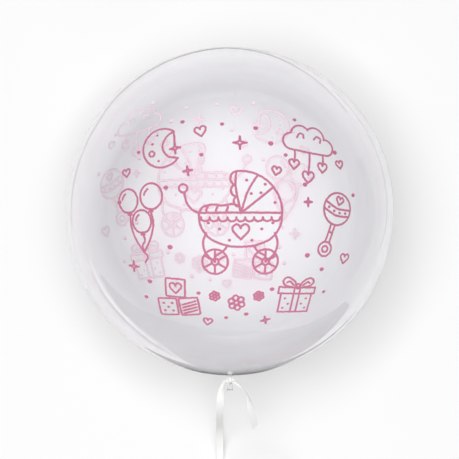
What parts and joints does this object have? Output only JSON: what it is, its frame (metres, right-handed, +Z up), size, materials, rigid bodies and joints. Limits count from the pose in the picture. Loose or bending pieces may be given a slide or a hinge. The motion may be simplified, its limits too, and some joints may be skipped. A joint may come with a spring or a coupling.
{
  "type": "clear round film party balloon with a ribbon",
  "caption": "Round clear film party balloon lying on its side, tied at the neck with a white ribbon whose short end hangs free and whose long end runs to a tied coil.",
  "frame": {"origin": "centre of the small flat spot on the underside that the balloon lies on", "axes": "+Z up through the bubble's centre, towards the printed front; -Y along the neck, from the bubble's centre out through the knot; +X to the right when the print is read with the neck down"},
  "size_m": [0.45, 0.7148, 0.4474],
  "materials": {
    "clear_film": "gloss",
    "white_ribbon": "satin",
    "pink_print": "satin"
  },
  "bodies": {
    "root": {"balloon_envelope": "clear_film", "ribbon_knot": "white_ribbon", "ribbon_lead": "white_ribbon", "ribbon_tail": "white_ribbon", "ribbon_coil": "white_ribbon", "coil_tie": "white_ribbon"}
  },
  "joints": []
}
